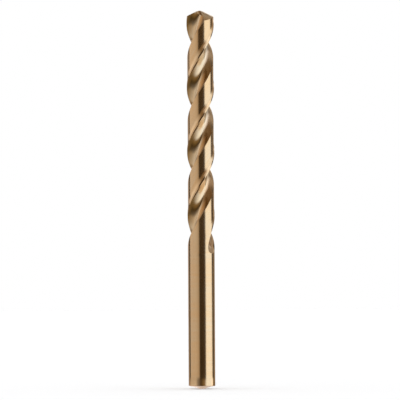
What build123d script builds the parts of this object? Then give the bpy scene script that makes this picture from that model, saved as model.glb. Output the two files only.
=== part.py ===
from build123d import *
import math
import os

# Two-flute, right-hand, straight-shank twist drill, ground from one bar.
# Millimetres. +Z runs along the axis from the shank end to the point, and
# the origin is on the axis at the tip of the shank's shallow end cone.

# ---- driving dimensions -------------------------------------------------
length = 125.0            # shank end to chisel edge
flute_length = 81.0       # chisel edge to the last trace of the flutes
drill_r = 4.50            # over the margins
body_r = 4.30             # relieved land behind the margins
shank_r = 4.40            # plain shank
lead = 42.04              # axial length of one turn of the flutes
phase_deg = 184.58        # direction of the first lip at the point, from +X

point_half_deg = 64.3     # half of the point angle
half_web = 1.659          # half the web's thickness at the point
hook_part = 0.7393        # hook of the rake side, as a part of a straight lip's
bow = 0.169               # bow of the rake side's middle towards the flute
web_taper = 0.0053        # growth of the half web per mm towards the shank
flute_deg = 98.67         # flute's opening, leading edge to heel
heel_tangent = 0.911      # pull of the flute floor away from the web
heel_pull = 1.544         # pull of the flute wall at the heel
heel_dir_deg = 171.83     # direction in which the wall meets the heel

margin_w = 0.57           # width of the margin round the circumference
relief_w = 1.48           # width of the concave step behind the margin
relief_end = 76.8         # distance below the point where the relief ends

lift_start = 69.80        # where the flutes start to run out
lift_r = 17.8             # radius of the run-out sweep
lift_dir_deg = 147.0      # direction in which the flute leaves the section

tail_h = 1.05             # height of the shank's end cone
tail_flat_r = 0.40        # small flat at the end cone's tip
tail_edge = 0.12          # edge break between end cone and shank

flank_cone_deg = 30.0     # half angle of the cone on which a flank is ground
flank_cone_d = 2.0        # its apex, in drill radii behind the axis
flank_cone_s = 0.05       # its skew, in drill radii ahead of the lip

notch_r = 1.14            # floor radius of the split-point gash
notch_deg = 42.0          # slope of the gash floor from the axis
notch_web = 0.42          # half the web left between the gashes
notch_side = 0.30         # gash centre's offset from the axis, along the lip


def turn(p, a):
    """Plan point turned by a radians about the axis."""
    return (p[0] * math.cos(a) - p[1] * math.sin(a), p[0] * math.sin(a) + p[1] * math.cos(a))


# ---- flute section ------------------------------------------------------
# In the lip's frame the lip lies along +X at Y = half_web and the flute is
# ahead of it, at greater Y. The rake side is the section of the helicoid
# that carries a straight lip at the point angle, eased a little and bowed.
hook = hook_part * (2 * math.pi / lead) / math.tan(math.radians(point_half_deg))


def rake(s):
    w = half_web + bow * math.sin(math.pi * min(s / drill_r, 1.0)) ** 2
    return turn((s, w), hook * s)


def bezier(p0, p1, p2, p3, u):
    v = 1 - u
    return tuple(
        v**3 * a + 3 * v * v * u * b + 3 * v * u * u * c + u**3 * d
        for a, b, c, d in zip(p0, p1, p2, p3)
    )


corner_a = math.asin(half_web / drill_r) + hook * math.sqrt(drill_r**2 - half_web**2)
heel_a = corner_a + math.radians(flute_deg)
heel = (body_r * math.cos(heel_a), body_r * math.sin(heel_a))
g = math.radians(heel_dir_deg)
heel_in = (heel[0] - heel_pull * math.cos(g), heel[1] - heel_pull * math.sin(g))

section = [rake(drill_r * 1.22 * (1 - i / 10)) for i in range(10)]
section.append((0.0, half_web))
section += [
    bezier((0.0, half_web), (-heel_tangent, half_web), heel_in, heel, i / 9) for i in range(1, 10)
]
section += [(heel[0] + e * math.cos(g), heel[1] + e * math.sin(g)) for e in (0.35, 0.75, 1.2)]


def shift(d):
    """How far the flute section has moved at d mm below the chisel edge."""
    x, y = 0.0, web_taper * d
    if d > lift_start:
        out = lift_r - math.sqrt(lift_r**2 - (d - lift_start) ** 2)
        a = math.radians(lift_dir_deg)
        x, y = x + out * math.cos(a), y + out * math.sin(a)
    return x, y


def twist(d):
    return math.radians(phase_deg) - 2 * math.pi * d / lead


def flute_wire(d):
    dx, dy = shift(d)

    def at(p):
        x, y = turn((p[0] + dx, p[1] + dy), twist(d))
        return Vector(x, y, length - d)

    mx, my = (section[0][0] + section[-1][0]) / 2, (section[0][1] + section[-1][1]) / 2
    m = math.hypot(mx, my)
    back = Edge.make_three_point_arc(at(section[-1]), at((mx / m * 7.6, my / m * 7.6)), at(section[0]))
    return Wire([Edge.make_spline([at(p) for p in section]), back])


def steps(a, b, n):
    return [a + (b - a) * i / n for i in range(n + 1)]


flute_cut = Solid.make_loft([flute_wire(d) for d in steps(-2.5, flute_length + 2.0, 62)], False)


# ---- relief behind the margins -----------------------------------------
def leading_angle(d):
    """Angle of the leading edge in the lip's frame, as the web thickens."""
    lo, hi = 0.0, drill_r * 1.2
    for _ in range(50):
        s = (lo + hi) / 2
        x, y = rake(s)
        lo, hi = (s, hi) if math.hypot(x, y + web_taper * d) < drill_r else (lo, s)
    return math.atan2(y + web_taper * d, x)


def relief_wire(d):
    base = leading_angle(d) + twist(d)
    out = max(0.0, (d - (relief_end - 1.6)) / 1.6)
    floor = body_r + (drill_r + 0.06 - body_r) * out * out
    a1 = base - margin_w / drill_r
    a0 = a1 - relief_w / drill_r
    top = drill_r + 0.9

    def at(r, a):
        return Vector(r * math.cos(a), r * math.sin(a), length - d)

    ramp = []
    for i in range(13):
        x = i / 12
        ramp.append(at(floor + (drill_r + 0.01 - floor) * x * x, a0 + (a1 - a0) * x))
    end = base - math.pi + math.radians(flute_deg - 24.0)
    land = [at(floor, a) for a in steps(end, a0, 12)]
    e_land = Edge.make_spline(land)
    e_ramp = Edge.make_spline(ramp)
    e_wall = Edge.make_line(ramp[-1], at(top, a1))
    e_top = Edge.make_three_point_arc(at(top, a1), at(top, (a1 + end) / 2), at(top, end))
    e_heel = Edge.make_line(at(top, end), land[0])
    return Wire([e_land, e_ramp, e_wall, e_top, e_heel])


relief_cut = Solid.make_loft([relief_wire(d) for d in steps(-2.5, relief_end, 58)], False)

# ---- the bar ------------------------------------------------------------
drill = Solid.make_cylinder(drill_r, length + 2.0)
for cutter in (flute_cut, flute_cut.rotate(Axis.Z, 180), relief_cut, relief_cut.rotate(Axis.Z, 180)):
    drill = drill.cut(cutter)

# The shank is turned a little smaller than the margins, with a short cone
# between the two, and ends in a shallow cone with a broken edge.
step_z = length - relief_end
slope = tail_h / (shank_r - tail_flat_r)
around = Solid.make_cylinder(drill_r + 2.0, step_z + 6.0, Plane.XY.offset(-5.0))
kept = Solid.make_cylinder(shank_r, step_z - 0.5 - tail_h - tail_edge * 0.8, Plane.XY.offset(tail_h + tail_edge * 0.8))
kept = kept.fuse(Solid.make_cone(shank_r, drill_r + 0.07, 1.7, Plane.XY.offset(step_z - 0.5)))
kept = kept.fuse(Solid.make_cone(shank_r - tail_edge, shank_r, tail_edge * (0.8 + slope), Plane.XY.offset(tail_h - tail_edge * slope)))
kept = kept.fuse(Solid.make_cone(tail_flat_r, shank_r - tail_edge, tail_h - tail_edge * slope))
drill = drill.cut(around.cut(kept))

# ---- point --------------------------------------------------------------
# Each flank is part of a cone. Its apex is behind the axis, its axis leans
# towards the lip, and its skew gives the lip its relief.
psi = math.radians(point_half_deg - flank_cone_deg)


def flank_height(x, y):
    """Height of the flank cone over (x, y), from the cone's apex."""
    ax, az = math.sin(psi), -math.cos(psi)
    c2 = math.cos(math.radians(flank_cone_deg)) ** 2
    px, py = x + flank_cone_d * drill_r, y - (half_web + flank_cone_s * drill_r)
    a, b, c = az * az - c2, 2 * px * ax * az, (px * ax) ** 2 - c2 * (px * px + py * py)
    root = math.sqrt(b * b - 4 * a * c)
    return max(
        z for z in ((-b + root) / (2 * a), (-b - root) / (2 * a)) if px * ax + z * az >= 0
    )


apex = Vector(-flank_cone_d * drill_r, half_web + flank_cone_s * drill_r, length - flank_height(0, 0))
down = Vector(math.sin(psi), 0, -math.cos(psi))
cone_h = 40.0
cone_plane = Plane(origin=apex + down * cone_h, z_dir=down * -1, x_dir=(0, 1, 0))
cone = Solid.make_cone(cone_h * math.tan(math.radians(flank_cone_deg)), 0, cone_h, cone_plane)
block = Solid.make_cylinder(drill_r + 1.2, 12.0, Plane.XY.offset(length - 7.0))
flank_cut = (block - cone).rotate(Axis.Z, phase_deg)
drill = drill - flank_cut - flank_cut.rotate(Axis.Z, 180)

# Split point: a round-bottomed gash from each flute thins the web to a short
# chisel edge.
b = math.radians(notch_deg)
floor_dir = Vector(0, math.sin(b), -math.cos(b))
floor_out = Vector(0, math.cos(b), math.sin(b))
notch_origin = Vector(notch_side, notch_web, length) + floor_out * notch_r - floor_dir * 6.0
notch = Solid.make_cylinder(notch_r, 14.0, Plane(origin=notch_origin, z_dir=floor_dir, x_dir=(1, 0, 0)))
notch_cut = notch.rotate(Axis.Z, phase_deg)
drill = drill - notch_cut - notch_cut.rotate(Axis.Z, 180)

solids = drill.solids()
body = max(solids, key=lambda s: s.volume)

os.makedirs("parts", exist_ok=True)
export_step(body, "parts/twist_drill.step")

box = body.bounding_box()
print("solids", len(solids), "valid", body.is_valid, "volume %.1f" % body.volume)
print("size %.3f %.3f %.3f  z %.3f..%.3f" % (box.size.X, box.size.Y, box.size.Z, box.min.Z, box.max.Z))
print("faces", len(body.faces()), "steel mass g %.1f" % (body.volume * 8.05e-3))
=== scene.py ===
import math

import bmesh
import bpy
import numpy as np
from mathutils import Matrix, Vector


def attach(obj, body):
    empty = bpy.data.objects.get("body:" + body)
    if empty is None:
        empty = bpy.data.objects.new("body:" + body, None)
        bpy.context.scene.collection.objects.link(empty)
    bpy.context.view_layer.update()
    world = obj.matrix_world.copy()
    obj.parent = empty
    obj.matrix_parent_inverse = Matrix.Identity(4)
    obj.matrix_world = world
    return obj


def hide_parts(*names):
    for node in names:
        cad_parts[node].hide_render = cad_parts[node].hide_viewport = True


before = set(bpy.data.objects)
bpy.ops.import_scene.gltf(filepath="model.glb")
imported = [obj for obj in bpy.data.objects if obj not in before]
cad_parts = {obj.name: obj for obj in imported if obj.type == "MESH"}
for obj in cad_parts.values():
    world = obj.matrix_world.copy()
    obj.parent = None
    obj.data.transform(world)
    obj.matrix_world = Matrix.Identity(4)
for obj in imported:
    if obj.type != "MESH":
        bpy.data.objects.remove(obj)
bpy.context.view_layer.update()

MM = 0.001

# ---------------------------------------------------------------------------
# Driving dimensions, millimetres: the same ones as the CAD solid's.
# d is measured down from the chisel edge, z = LENGTH - d.
LENGTH = 125.0
DRILL_R, BODY_R, SHANK_R = 4.50, 4.30, 4.40
LEAD = 42.04
PHASE = math.radians(184.58)
HALF_WEB, WEB_TAPER = 1.659, 0.0053
FLUTE = math.radians(98.67)
HEEL_TANGENT, HEEL_PULL, HEEL_DIR = 0.911, 1.544, math.radians(171.83)
MARGIN_W, RELIEF_W, RELIEF_END = 0.57, 1.48, 76.8
BLEND_FROM = 62.0
RAMP_POW = 2.0
LIFT_START, LIFT_R, LIFT_DIR = 69.80, 17.8, math.radians(147.0)
TAIL_H, TAIL_FLAT_R, TAIL_EDGE = 1.05, 0.40, 0.12
CONE_DEG, CONE_D, CONE_S = 30.0, 2.0, 0.05
NOTCH_R, NOTCH_DEG, NOTCH_WEB, NOTCH_CX = 1.14, 42.0, 0.42, 0.30
POINT_HALF = math.radians(64.3)
HOOK_PART, BOW = 0.7393, 0.169
HOOK = HOOK_PART * (2 * math.pi / LEAD) / math.tan(POINT_HALF)
STEP_Z = LENGTH - RELIEF_END
STEP_END = RELIEF_END + 0.5

N_FLUTE, N_LAND, N_RAMP, N_MARGIN = 56, 26, 12, 20
FLUTE_M, LAND_M, OD_M, FLANK_M, NOTCH_M, END_M = range(6)


def rot(p, a):
    c, s = np.cos(a), np.sin(a)
    return np.stack([p[..., 0] * c - p[..., 1] * s, p[..., 0] * s + p[..., 1] * c], -1)


# ---- the flute's section in the lip's frame --------------------------------
def rake_at(s):
    w = HALF_WEB + BOW * np.sin(np.pi * np.minimum(s / DRILL_R, 1.0)) ** 2
    return rot(np.stack([s, w], -1), HOOK * s)


def flute_profile():
    s = np.linspace(DRILL_R * 1.25, 0, 900)
    rake = rake_at(s)
    corner = math.asin(HALF_WEB / DRILL_R) + HOOK * math.sqrt(DRILL_R**2 - HALF_WEB**2)
    th = corner + FLUTE
    heel = np.array([BODY_R * math.cos(th), BODY_R * math.sin(th)])
    g = np.array([math.cos(HEEL_DIR), math.sin(HEEL_DIR)])
    p0, p1 = np.array([0.0, HALF_WEB]), np.array([-HEEL_TANGENT, HALF_WEB])
    p2 = heel - HEEL_PULL * g
    u = np.linspace(0, 1, 1200)[1:, None]
    v = 1 - u
    bez = v**3 * p0 + 3 * v * v * u * p1 + 3 * v * u * u * p2 + u**3 * heel
    ext = heel + np.linspace(0.002, 1.3, 300)[:, None] * g
    return np.concatenate([rake, bez, ext])


PROFILE = flute_profile()


def shift(d):
    out = 0.0
    if d > LIFT_START:
        out = LIFT_R - math.sqrt(LIFT_R**2 - (d - LIFT_START) ** 2)
    return np.array([out * math.cos(LIFT_DIR), WEB_TAPER * d + out * math.sin(LIFT_DIR)])


def settle(d):
    """0 on the body, 1 on the shank: margins and land fade into it together."""
    t = min(1.0, max(0.0, (d - BLEND_FROM) / (STEP_END - BLEND_FROM)))
    return t * t * (3 - 2 * t)


def outer(d):
    return DRILL_R + (SHANK_R - DRILL_R) * settle(d)


def inner(d):
    """Radius of the relieved land, which rises gently into the shank."""
    return min(outer(d), BODY_R + (SHANK_R - BODY_R) * settle(d))


def leading(d):
    """Angle of the leading edge in the lip's frame, before the run-out."""
    lo, hi = 0.0, DRILL_R * 1.2
    for _ in range(50):
        s = (lo + hi) / 2
        p = rake_at(np.array([s]))[0]
        if math.hypot(p[0], p[1] + WEB_TAPER * d) < DRILL_R:
            lo = s
        else:
            hi = s
    return math.atan2(p[1] + WEB_TAPER * d, p[0])


def least_radius(d):
    c = PROFILE + shift(d)
    return float(np.hypot(c[:, 0], c[:, 1]).min())


lo, hi = 76.0, 86.0
for _ in range(60):
    mid = (lo + hi) / 2
    if least_radius(mid) < outer(mid):
        lo = mid
    else:
        hi = mid
VANISH = (lo + hi) / 2


def crossing(c, r, i, j, radius):
    f = (radius - r[i]) / (r[j] - r[i])
    return c[i] + f * (c[j] - c[i])


def half_ring(d):
    """One half of the section at d, from the leading edge round to the other
    leading edge: flute, land, relief ramp, margin."""
    ro, ri = outer(d), inner(d)
    c = PROFILE + shift(d)
    r = np.hypot(c[:, 0], c[:, 1])
    ins = np.nonzero(r < ro)[0]
    i0 = ins[0]
    a = crossing(c, r, i0 - 1, i0, ro)
    inb = np.nonzero(r < ri)[0]
    i1 = inb[-1]
    b = crossing(c, r, i1, i1 + 1, ri)
    cur = np.concatenate([[a], c[i0 : i1 + 1], [b]])
    s = np.concatenate([[0], np.cumsum(np.hypot(*np.diff(cur, axis=0).T))])
    q = np.linspace(0, s[-1], N_FLUTE + 1)
    flute = np.stack([np.interp(q, s, cur[:, 0]), np.interp(q, s, cur[:, 1])], -1)
    tha = math.atan2(a[1], a[0])
    thb = math.atan2(b[1], b[0])
    if thb < 0:
        thb += 2 * math.pi
    base = leading(d) + math.pi
    t1 = base - (MARGIN_W + RELIEF_W) / DRILL_R
    t2 = base - MARGIN_W / DRILL_R
    t3 = tha + math.pi
    la = np.linspace(thb, t1, N_LAND + 1)[1:]
    land = np.stack([ri * np.cos(la), ri * np.sin(la)], -1)
    xs = np.linspace(0, 1, N_RAMP + 1)[1:]
    rr = ri + (ro - ri) * xs**RAMP_POW
    ta = t1 + (t2 - t1) * xs
    ramp = np.stack([rr * np.cos(ta), rr * np.sin(ta)], -1)
    ma = np.linspace(ta[-1], t3, N_MARGIN + 1)[1:-1]
    margin = np.stack([ro * np.cos(ma), ro * np.sin(ma)], -1)
    return np.concatenate([flute, land, ramp, margin])


HALF_N = N_FLUTE + 1 + N_LAND + N_RAMP + N_MARGIN - 1
COLS = HALF_N * 2
COL_MAT = np.array(([FLUTE_M] * N_FLUTE + [LAND_M] * (N_LAND + N_RAMP) + [OD_M] * N_MARGIN) * 2)


def ring(d):
    h = half_ring(d)
    full = np.concatenate([h, -h])
    a = PHASE - 2 * math.pi * d / LEAD
    p = rot(full, a)
    return np.concatenate([p, np.full((len(p), 1), LENGTH - d)], 1)


def stations():
    """Heights of the sections: even along the flutes, closer at the run-out."""
    out = list(np.arange(-1.4, 8.0 - 1e-9, 0.2))
    out.append(8.0)
    out += list(np.linspace(8.0, 74.8, 288)[1:])
    out += list(np.linspace(74.8, RELIEF_END, 22)[1:-1])
    out += [RELIEF_END - 1e-4, RELIEF_END]
    out += [76.95, 77.1, 77.2, STEP_END, 77.45, 77.6]
    k = np.linspace(0, 1, 24)[1:]
    out += list(77.6 + (VANISH - 2e-5 - 77.6) * (1 - (1 - k) ** 2.0))
    return out


D_ALL = stations()
TIP_CUT = 8.0


def add_rings(rings):
    verts = np.concatenate(rings)
    faces, mats = [], []
    n = COLS
    for i in range(len(rings) - 1):
        for j in range(n):
            k = (j + 1) % n
            a, b, c, e = i * n + j, i * n + k, (i + 1) * n + k, (i + 1) * n + j
            faces.append((a, e, c, b))
            mats.append(int(COL_MAT[j]))
    return verts, faces, mats


def mesh_of(name, verts, faces, mats=None):
    me = bpy.data.meshes.new(name)
    me.from_pydata([tuple(v) for v in np.asarray(verts, dtype=float)], [], faces)
    if mats is not None:
        me.polygons.foreach_set("material_index", np.asarray(mats, dtype=np.int32))
    me.update()
    return me


# ---- materials (filled in further down) ------------------------------------
MATS = []


def material(name):
    m = bpy.data.materials.new(name)
    m.use_nodes = True
    MATS.append(m)
    return m


# ---- the tip: swept bar cut by two flank cones and two notches --------------
def temp_object(name, me):
    o = bpy.data.objects.new(name, me)
    bpy.context.scene.collection.objects.link(o)
    return o


tip_d = [d for d in D_ALL if d <= TIP_CUT + 1e-9]
low_d = [d for d in D_ALL if d >= TIP_CUT - 1e-9]
tip_rings = [ring(d) for d in tip_d]
tv, tf, tm = add_rings(tip_rings)
n = COLS
tf.append(tuple(range(n)))
tm.append(FLANK_M)
tf.append(tuple((len(tip_rings) - 1) * n + j for j in reversed(range(n))))
tm.append(END_M)
tip = temp_object("tip", mesh_of("tip", tv, tf, tm))


def flank_height(x, y):
    psi = POINT_HALF - math.radians(CONE_DEG)
    ax, az = math.sin(psi), -math.cos(psi)
    c2 = math.cos(math.radians(CONE_DEG)) ** 2
    px, py = x + CONE_D * DRILL_R, y - (HALF_WEB + CONE_S * DRILL_R)
    a, b, c = az * az - c2, 2 * px * ax * az, (px * ax) ** 2 - c2 * (px * px + py * py)
    root = np.sqrt(b * b - 4 * a * c)
    z1, z2 = (-b + root) / (2 * a), (-b - root) / (2 * a)
    z1 = np.where(px * ax + z1 * az >= 0, z1, -1e9)
    z2 = np.where(px * ax + z2 * az >= 0, z2, -1e9)
    return np.maximum(z1, z2)


FH0 = float(flank_height(np.array(0.0), np.array(0.0)))


def flank_z(x, y):
    """Height of the first flank's cone over world (x, y), mm."""
    p = rot(np.stack([x, y], -1), -PHASE)
    return LENGTH + flank_height(p[..., 0], p[..., 1]) - FH0


def flank_cutter(turned):
    nr, nt, rmax = 44, 144, 5.6
    verts, faces = [], []
    verts.append((0.0, 0.0))
    for i in range(1, nr + 1):
        r = rmax * i / nr
        for j in range(nt):
            t = 2 * math.pi * (j + 0.37) / nt
            verts.append((r * math.cos(t), r * math.sin(t)))
    xy = np.array(verts)
    s = -1.0 if turned else 1.0
    z = flank_z(s * xy[:, 0], s * xy[:, 1])
    low = np.concatenate([xy, z[:, None]], 1)
    for j in range(nt):
        k = (j + 1) % nt
        faces.append((0, 1 + k, 1 + j))
        for i in range(nr - 1):
            a, b = 1 + i * nt, 1 + (i + 1) * nt
            faces.append((a + j, a + k, b + k, b + j))
    top0 = len(low)
    rim = [1 + (nr - 1) * nt + j for j in range(nt)]
    topv = low[rim].copy()
    topv[:, 2] = LENGTH + 6.0
    for j in range(nt):
        k = (j + 1) % nt
        faces.append((rim[j], rim[k], top0 + k, top0 + j))
    faces.append(tuple(top0 + j for j in range(nt)))
    me = mesh_of("flank_cutter", np.concatenate([low, topv]), faces, [FLANK_M] * len(faces))
    return temp_object("flank_cutter", me)


def notch_cutter(turned):
    b = math.radians(NOTCH_DEG)
    fd = np.array([0, math.sin(b), -math.cos(b)])
    fo = np.array([0, math.cos(b), math.sin(b)])
    o = np.array([NOTCH_CX, NOTCH_WEB, LENGTH]) + fo * NOTCH_R - fd * 6.0
    nt, nl, ln = 240, 40, 14.0
    verts, faces = [], []
    for i in range(nl + 1):
        for j in range(nt):
            t = 2 * math.pi * (j + 0.29) / nt
            verts.append(o + fd * ln * i / nl + fo * NOTCH_R * math.cos(t) + np.array([1, 0, 0]) * NOTCH_R * math.sin(t))
    for i in range(nl):
        for j in range(nt):
            k = (j + 1) % nt
            faces.append((i * nt + j, (i + 1) * nt + j, (i + 1) * nt + k, i * nt + k))
    faces.append(tuple(range(nt)))
    faces.append(tuple(nl * nt + j for j in reversed(range(nt))))
    me = mesh_of("notch_cutter", np.array(verts), faces)
    bm = bmesh.new()
    bm.from_mesh(me)
    bmesh.ops.triangulate(bm, faces=[f for f in bm.faces if len(f.verts) > 4])
    bmesh.ops.rotate(bm, verts=bm.verts[:], cent=(0, 0, 0), matrix=Matrix.Rotation(PHASE + (math.pi if turned else 0), 3, "Z"))
    bmesh.ops.recalc_face_normals(bm, faces=bm.faces[:])
    for f in bm.faces:
        f.material_index = NOTCH_M
    bm.to_mesh(me)
    bm.free()
    return temp_object("notch_cutter", me)


def outward(me):
    bm = bmesh.new()
    bm.from_mesh(me)
    bmesh.ops.recalc_face_normals(bm, faces=bm.faces[:])
    bm.to_mesh(me)
    bm.free()


for _m in range(6):
    material("drill_finish_%d" % _m)


def cut(target, cutter):
    for m in MATS:
        if m.name not in [x.name for x in target.data.materials if x]:
            target.data.materials.append(m)
        if m.name not in [x.name for x in cutter.data.materials if x]:
            cutter.data.materials.append(m)
    outward(cutter.data)
    mod = target.modifiers.new("cut", "BOOLEAN")
    mod.operation = "DIFFERENCE"
    mod.object = cutter
    mod.solver = "MANIFOLD"
    dg = bpy.context.evaluated_depsgraph_get()
    dg.update()
    out = bpy.data.meshes.new_from_object(target.evaluated_get(dg))
    target.modifiers.clear()
    old = target.data
    target.data = out
    bpy.data.meshes.remove(old)
    cm = cutter.data
    bpy.data.objects.remove(cutter)
    bpy.data.meshes.remove(cm)


outward(tip.data)
for turned in (False, True):
    cut(tip, flank_cutter(turned))
for turned in (False, True):
    cut(tip, notch_cutter(turned))
print("tip faces", len(tip.data.polygons), np.bincount([p.material_index for p in tip.data.polygons]))

# ---- the rest of the bar ----------------------------------------------------
low_rings = [ring(d) for d in low_d]
last = low_rings[-1]
shank_z = [LENGTH - VANISH - 1.5 * k for k in range(1, 28)]
z_cyl = TAIL_H + TAIL_EDGE * 0.8
shank_z = [z for z in shank_z if z > z_cyl + 0.6] + [z_cyl]
slope = TAIL_H / (SHANK_R - TAIL_FLAT_R)
ang = np.arctan2(last[:, 1], last[:, 0])


def circle(r, z):
    return np.stack([r * np.cos(ang), r * np.sin(ang), np.full(len(ang), z)], -1)


rings = list(low_rings)
n_fluted = len(rings)
for z in shank_z:
    rings.append(circle(SHANK_R, z))
e_hi, e_lo = z_cyl, TAIL_H - TAIL_EDGE * slope
for k in (0.35, 0.7, 1.0):
    rings.append(circle(SHANK_R - TAIL_EDGE * (1 - math.cos(k * math.pi / 2)) , e_hi - (e_hi - e_lo) * math.sin(k * math.pi / 2)))
r_e = SHANK_R - TAIL_EDGE
for k in np.linspace(0, 1, 9)[1:]:
    rings.append(circle(r_e + (TAIL_FLAT_R - r_e) * k, e_lo * (1 - k)))
bv, bf, bmat = add_rings(rings)
for q in range(len(bf)):
    row = q // COLS
    if row >= n_fluted - 1:
        bmat[q] = OD_M if row < n_fluted - 1 + len(shank_z) else END_M
bf.append(tuple((len(rings) - 1) * n + j for j in reversed(range(n))))
bmat.append(END_M)
body_me = mesh_of("body", bv, bf, bmat)

# ---- join tip and bar -------------------------------------------------------
bm = bmesh.new()
bm.from_mesh(body_me)
bm.from_mesh(tip.data)
z_cut = LENGTH - TIP_CUT
caps = [f for f in bm.faces if all(abs(v.co.z - z_cut) < 2e-5 for v in f.verts)]
bmesh.ops.delete(bm, geom=caps, context="FACES")
bmesh.ops.remove_doubles(bm, verts=bm.verts[:], dist=1e-3)
bmesh.ops.recalc_face_normals(bm, faces=bm.faces[:])
print("open edges", sum(1 for e in bm.edges if len(e.link_faces) != 2), "faces", len(bm.faces))
print("volume", bm.calc_volume())
drill_me = bpy.data.meshes.new("drill_surface")
bm.to_mesh(drill_me)
bm.free()
drill_me.transform(Matrix.Scale(MM, 4))
bpy.data.objects.remove(tip)
drill = bpy.data.objects.new("drill_surface", drill_me)
bpy.context.scene.collection.objects.link(drill)
for m in MATS:
    drill_me.materials.append(m)
drill_me.polygons.foreach_set("use_smooth", np.ones(len(drill_me.polygons), dtype=bool))
drill_me.set_sharp_from_angle(angle=math.radians(22))
drill_me.update()
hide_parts("twist_drill")
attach(drill, "root")
print("triangles", sum(len(p.vertices) - 2 for p in drill_me.polygons))

# ---- materials --------------------------------------------------------------
# Ground cobalt steel with a thin bronze-coloured oxide. Every region keeps the
# direction its own grinding left: round the bar on the shank and margins, along
# the helix in the flutes, across the lip on the flanks, in rings on the tail.
class Tree:
    """Short-hand for building a node tree."""

    def __init__(self, tree):
        self.t = tree
        self.n = 0

    def node(self, kind, **props):
        x = self.t.nodes.new(kind)
        x.location = (220 * (self.n // 12), -180 * (self.n % 12))
        self.n += 1
        for k, v in props.items():
            setattr(x, k, v)
        return x

    def link(self, out, socket):
        self.t.links.new(out, socket)

    def put(self, value, socket):
        if isinstance(value, bpy.types.NodeSocket):
            self.t.links.new(value, socket)
        else:
            socket.default_value = value

    def math(self, op, a, b=0.0, c=0.0, clamp=False):
        x = self.node("ShaderNodeMath", operation=op, use_clamp=clamp)
        for v, s in zip((a, b, c), x.inputs):
            self.put(v, s)
        return x.outputs[0]

    def ramp(self, v, a, b, c=0.0, d=1.0, kind="SMOOTHSTEP"):
        x = self.node("ShaderNodeMapRange", interpolation_type=kind)
        for val, s in zip((v, a, b, c, d), (x.inputs["Value"], x.inputs["From Min"], x.inputs["From Max"], x.inputs["To Min"], x.inputs["To Max"])):
            self.put(val, s)
        return x.outputs["Result"]

    def comb(self, x, y, z):
        c = self.node("ShaderNodeCombineXYZ")
        for v, sck in zip((x, y, z), c.inputs):
            self.put(v, sck)
        return c.outputs[0]

    def noise(self, v, scale, detail, rough, seed=None):
        x = self.node("ShaderNodeTexNoise", noise_dimensions="3D" if seed is None else "4D")
        self.link(v, x.inputs["Vector"])
        x.inputs["Scale"].default_value = scale
        x.inputs["Detail"].default_value = detail
        x.inputs["Roughness"].default_value = rough
        if seed is not None:
            x.inputs["W"].default_value = seed
        return x.outputs["Fac"]

    def mix(self, f, a, b):
        x = self.node("ShaderNodeMix", data_type="RGBA", blend_type="MIX")
        self.link(f, x.inputs[0])
        for v, sck in ((a, x.inputs[6]), (b, x.inputs[7])):
            if isinstance(v, tuple):
                sck.default_value = (*v, 1.0)
            else:
                self.link(v, sck)
        return x.outputs[2]

    def vmath(self, op, a, b=None, scale=None):
        x = self.node("ShaderNodeVectorMath", operation=op)
        self.put(a, x.inputs[0])
        if b is not None:
            self.put(b, x.inputs[1])
        if scale is not None:
            self.put(scale, x.inputs["Scale"])
        return x.outputs["Value"] if op in ("LENGTH", "DOT_PRODUCT", "DISTANCE") else x.outputs["Vector"]


def lay_of(t, kind, mm, x, y, z):
    """Coordinates that are long along the grinding marks and short across."""
    if kind == "turned":
        return t.comb(t.math("MULTIPLY", x, 0.22), t.math("MULTIPLY", y, 0.22), t.math("MULTIPLY", z, 6.5))
    if kind == "rings":
        r = t.math("SQRT", t.math("ADD", t.math("MULTIPLY", x, x), t.math("MULTIPLY", y, y)))
        return t.comb(t.math("MULTIPLY", r, 9.0), t.math("MULTIPLY", t.math("ARCTAN2", y, x), 0.35), 0.0)
    turn = t.node("ShaderNodeVectorRotate", rotation_type="Z_AXIS")
    t.link(mm, turn.inputs["Vector"])
    if kind == "helix":
        t.link(t.math("MULTIPLY", z, -2 * math.pi / LEAD), turn.inputs["Angle"])
        stretch = (5.5, 5.5, 0.10)
    else:
        turn.inputs["Angle"].default_value = -PHASE
        stretch = (7.5, 0.45, 1.6)
    return t.vmath("MULTIPLY", turn.outputs[0], stretch)


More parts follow.
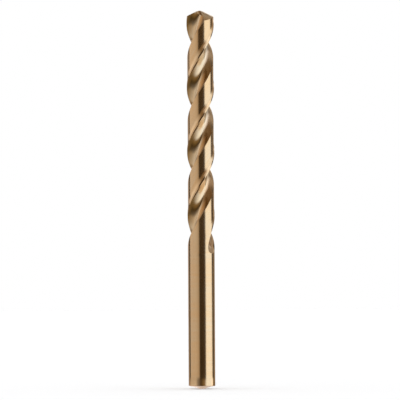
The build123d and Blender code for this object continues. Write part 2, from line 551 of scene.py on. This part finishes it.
def finish(m, kind, tone, rough, spread, depth, blush):
    """tone: colour of the oxide; rough +- spread; depth of the marks in metres;
    blush: how much the oxide's colour drifts over the part."""
    t = Tree(m.node_tree)
    b = m.node_tree.nodes["Principled BSDF"]
    b.location = (2600, 0)
    b.inputs["Metallic"].default_value = 1.0
    mm = t.vmath("SCALE", t.node("ShaderNodeTexCoord").outputs["Object"], scale=1000.0)
    sx = t.node("ShaderNodeSeparateXYZ")
    t.link(mm, sx.inputs[0])
    lay = lay_of(t, kind, mm, *sx.outputs)
    marks = t.noise(lay, 1.0, 5.0, 0.62)
    lanes = t.noise(lay, 0.21, 2.0, 0.5)
    cloud = t.noise(mm, 0.11, 3.0, 0.55)
    mottle = t.noise(mm, 1.3, 4.0, 0.6)
    # hairline scratches left by handling: long and thin, a little askew to the
    # axis, kept only in patches
    hair = t.noise(
        t.comb(
            t.vmath("DOT_PRODUCT", mm, (1.07, 0.00, 0.24)),
            t.vmath("DOT_PRODUCT", mm, (0.06, 1.07, -0.21)),
            t.vmath("DOT_PRODUCT", mm, (-0.007, 0.007, 0.030)),
        ),
        1.0, 0.0, 0.5,
    )
    hair = t.ramp(t.math("ABSOLUTE", t.math("SUBTRACT", hair, 0.5)), 0.0, 0.0045, 1.0, 0.0)
    hair = t.math("MULTIPLY", hair, t.ramp(t.noise(mm, 0.33, 1.0, 0.5, seed=7.0), 0.56, 0.64))
    # burnished edges
    bevel = t.node("ShaderNodeBevel", samples=4)
    bevel.inputs["Radius"].default_value = 0.00011
    geo = t.node("ShaderNodeNewGeometry")
    round_ = t.vmath("DOT_PRODUCT", bevel.outputs[0], geo.outputs["Normal"])
    edge = t.ramp(round_, 0.992, 0.93)
    edge = t.math("MULTIPLY", edge, t.ramp(mottle, 0.36, 0.60, 0.35, 1.0))
    # colour: the oxide drifts between a yellower and a redder bronze
    warm = tuple(c * k for c, k in zip(tone, (1.02, 0.965, 0.89)))
    cool = tuple(c * k for c, k in zip(tone, (0.985, 1.03, 1.09)))
    drift = t.math("MULTIPLY_ADD", t.math("SUBTRACT", lanes, 0.5), 0.8, t.math("ADD", cloud, 0.0))
    colour = t.mix(t.ramp(drift, 0.5 - 0.22 / blush, 0.5 + 0.22 / blush), warm, cool)
    shade = t.math("MULTIPLY_ADD", t.math("SUBTRACT", marks, 0.5), 0.16, 1.0)
    shade = t.math("MULTIPLY_ADD", t.math("SUBTRACT", mottle, 0.5), 0.07, shade)
    colour = t.vmath("SCALE", colour, scale=shade)
    colour = t.mix(t.math("MULTIPLY", edge, 0.55), colour, (0.86, 0.70, 0.50))
    colour = t.mix(t.math("MULTIPLY", hair, 0.35), colour, (0.88, 0.74, 0.55))
    t.link(colour, b.inputs["Base Color"])
    r = t.math("MULTIPLY_ADD", t.math("SUBTRACT", marks, 0.5), spread, rough)
    r = t.math("MULTIPLY_ADD", t.math("SUBTRACT", cloud, 0.5), spread * 0.7, r)
    r = t.math("MULTIPLY_ADD", edge, 0.06, r)
    t.link(t.math("MULTIPLY_ADD", hair, 0.08, r, clamp=True), b.inputs["Roughness"])
    high = t.math("MULTIPLY_ADD", lanes, 1.4, marks)
    high = t.math("MULTIPLY_ADD", hair, -1.2, high)
    bump = t.node("ShaderNodeBump")
    bump.inputs["Strength"].default_value = 0.6
    bump.inputs["Distance"].default_value = depth
    t.link(high, bump.inputs["Height"])
    t.link(bump.outputs[0], b.inputs["Normal"])


GOLD = (0.738, 0.497, 0.281)
FLUTE_TONE = (0.72, 0.53, 0.338)
finish(MATS[FLUTE_M], "helix", FLUTE_TONE, 0.165, 0.07, 0.0000016, 1.0)
finish(MATS[LAND_M], "helix", GOLD, 0.155, 0.05, 0.0000009, 0.8)
finish(MATS[OD_M], "turned", GOLD, 0.150, 0.05, 0.0000009, 0.8)
finish(MATS[FLANK_M], "across", (0.60, 0.435, 0.255), 0.21, 0.09, 0.0000018, 1.0)
finish(MATS[NOTCH_M], "across", (0.60, 0.435, 0.255), 0.21, 0.09, 0.0000018, 1.0)
finish(MATS[END_M], "rings", (0.71, 0.480, 0.275), 0.22, 0.08, 0.0000020, 1.0)

# ---- studio -----------------------------------------------------------------
# A light tent as seen from the part: soft boxes and dark flags by direction.
# Azimuth 0 is the camera's side, +90 the right; angles in degrees.
SOFTBOXES = [  # azimuth, elevation, half width, half height, soft edges, strength, tint
    (68.3, -6.3, 34.6, 27.7, 13.3, 18.4, 1.05, (1.0, 1.24, 1.51)),
    (-73.6, -14.3, 52.7, 11.8, 13.8, 29.5, 0.73, (1.0, 1.09, 1.18)),
    (-102.1, 11.9, 61.0, 7.9, 28.0, 11.0, 0.69, (1.0, 1.09, 1.20)),
    (133.0, 29.1, 29.6, 31.8, 6.6, 8.4, 0.26, (1.0, 1.08, 1.15)),
    (171.4, 16.3, 24.7, 12.8, 6.2, 2.0, 1.14, (1.0, 1.06, 1.13)),
    (-162.8, -18.2, 21.3, 7.9, 2.0, 15.1, 1.46, (1.0, 1.03, 1.19)),
    (86.6, 63.6, 59.7, 27.3, 20.6, 4.4, 0.33, (1.0, 1.01, 0.99)),
    (-11.3, 20.8, 42.2, 34.9, 22.5, 10.3, 0.09, (1.0, 0.98, 0.85)),
    (24.6, -67.0, 82.1, 3.2, 18.9, 6.7, 0.26, (1.0, 1.00, 0.99)),
    (105.1, -17.9, 8.8, 15.6, 3.4, 2.1, 0.82, (1.0, 1.01, 1.02)),
    (39.5, 25.1, 34.2, 10.8, 12.6, 2.0, 0.72, (1.0, 1.08, 1.27)),
    (-124.5, 44.4, 39.8, 42.6, 18.6, 8.2, 0.13, (1.0, 1.04, 1.17)),
    (-95.4, -61.7, 42.9, 12.4, 14.6, 15.1, 0.06, (1.0, 1.03, 1.10)),
]
FLAGS = [  # azimuth, elevation, half width, half height, soft edges, density
    (9.2, -0.8, 27.1, 5.1, 2.0, 2.2, 0.85),
    (-122.6, -0.5, 9.2, 3.2, 2.0, 2.6, 1.00),
    (117.0, 0.1, 15.3, 3.0, 3.3, 3.9, 0.96),
    (-19.7, -26.3, 25.8, 22.7, 16.8, 2.8, 0.67),
    (-1.3, -59.3, 56.8, 16.0, 19.4, 10.8, 0.37),
    (55.5, 57.4, 29.9, 8.2, 11.9, 5.7, 0.98),
]
ROOM_LOW, ROOM_HIGH = (0.278, 0.198, 0.083), (0.115, 0.051, 0.000)


scene = bpy.context.scene
scene.view_settings.view_transform = "Standard"
scene.view_settings.look = "None"
world = bpy.data.worlds.new("studio")
scene.world = world
world.use_nodes = True
wt = world.node_tree
wt.nodes.clear()
T = Tree(wt)
coord = T.node("ShaderNodeTexCoord")
sep = T.node("ShaderNodeSeparateXYZ")
T.link(coord.outputs["Generated"], sep.inputs[0])
DEG = 180 / math.pi
az = T.math("MULTIPLY", T.math("ARCTAN2", sep.outputs[0], T.math("MULTIPLY", sep.outputs[1], -1.0)), DEG)
el = T.math("MULTIPLY", T.math("ARCSINE", sep.outputs[2]), DEG)


def patch(a, e, hw, hh, sw, sh):
    da = T.math("PINGPONG", T.math("SUBTRACT", az, a), 180.0)
    de = T.math("ABSOLUTE", T.math("SUBTRACT", el, e))
    return T.math("MULTIPLY", T.ramp(da, hw - sw, hw + sw, 1.0, 0.0), T.ramp(de, hh - sh, hh + sh, 1.0, 0.0))


mixr = T.node("ShaderNodeMix", data_type="RGBA", blend_type="MIX")
T.link(T.ramp(el, -60.0, 60.0), mixr.inputs["Factor"])
mixr.inputs["A"].default_value = (*ROOM_LOW, 1)
mixr.inputs["B"].default_value = (*ROOM_HIGH, 1)
mixr.inputs[6].default_value = (*ROOM_LOW, 1)
mixr.inputs[7].default_value = (*ROOM_HIGH, 1)
light = mixr.outputs[2]
for a_, e_, hw, hh, sw, sh, st, tint in SOFTBOXES:
    x = T.node("ShaderNodeVectorMath", operation="MULTIPLY_ADD")
    x.inputs[0].default_value = [st * c for c in tint]
    comb = T.node("ShaderNodeCombineXYZ")
    m_ = patch(a_, e_, hw, hh, sw, sh)
    for i in range(3):
        T.link(m_, comb.inputs[i])
    T.link(comb.outputs[0], x.inputs[1])
    T.link(light, x.inputs[2])
    light = x.outputs["Vector"]
for a_, e_, hw, hh, sw, sh, op in FLAGS:
    light = T.vmath("SCALE", light, scale=T.math("MULTIPLY_ADD", patch(a_, e_, hw, hh, sw, sh), -op, 1.0))
bg_env = T.node("ShaderNodeBackground")
T.link(light, bg_env.inputs["Color"])
bg_cam = T.node("ShaderNodeBackground")
bg_cam.inputs["Color"].default_value = (1, 1, 1, 1)
bg_room = T.node("ShaderNodeBackground")
bg_room.inputs["Color"].default_value = (1, 1, 1, 1)
bg_room.inputs["Strength"].default_value = 1.14
path = T.node("ShaderNodeLightPath")
mixd = T.node("ShaderNodeMixShader")
T.link(path.outputs["Is Diffuse Ray"], mixd.inputs[0])
T.link(bg_env.outputs[0], mixd.inputs[1])
T.link(bg_room.outputs[0], mixd.inputs[2])
mixs = T.node("ShaderNodeMixShader")
T.link(path.outputs["Is Camera Ray"], mixs.inputs[0])
T.link(mixd.outputs[0], mixs.inputs[1])
T.link(bg_cam.outputs[0], mixs.inputs[2])
outw = T.node("ShaderNodeOutputWorld")
T.link(mixs.outputs[0], outw.inputs["Surface"])
world.cycles.sampling_method = "MANUAL"
world.cycles.sample_map_resolution = 1024

# ---- floor ------------------------------------------------------------------
floor_me = bpy.data.meshes.new("floor")
bm = bmesh.new()
bmesh.ops.create_circle(bm, cap_ends=True, cap_tris=True, segments=96, radius=1.6)
bm.to_mesh(floor_me)
bm.free()
floor = bpy.data.objects.new("floor", floor_me)
scene.collection.objects.link(floor)
floor_mat = bpy.data.materials.new("floor_paper")
floor_mat.use_nodes = True
F = Tree(floor_mat.node_tree)
fb = floor_mat.node_tree.nodes["Principled BSDF"]
fb.inputs["Roughness"].default_value = 1.0
fb.inputs["Specular IOR Level"].default_value = 0.0
grain = F.noise(F.node("ShaderNodeTexCoord").outputs["Object"], 900.0, 3.0, 0.6)
F.link(F.mix(grain, (0.905, 0.905, 0.905), (0.935, 0.935, 0.935)), fb.inputs["Base Color"])
floor_me.materials.append(floor_mat)
floor.visible_glossy = False

# ---- camera -----------------------------------------------------------------
cam_data = bpy.data.cameras.new("camera")
cam_data.lens = 600
cam_data.sensor_width = 36
cam_data.dof.use_dof = False
cam = bpy.data.objects.new("camera", cam_data)
scene.collection.objects.link(cam)
PX = 0.33043
dist = PX * 400 / 36 * 600
cam_data.clip_start, cam_data.clip_end = 0.05, 10.0
roll = 0.00533
cam.rotation_mode = "XYZ"
centre = Vector((-1.01 * PX, 0, (388.9 - 200) * PX)) * MM
look = Matrix.Rotation(math.radians(90), 4, "X")
cam.matrix_world = Matrix.Translation(centre + Vector((0, -dist * MM, 0))) @ Matrix.Rotation(roll, 4, "Y") @ look
scene.camera = cam
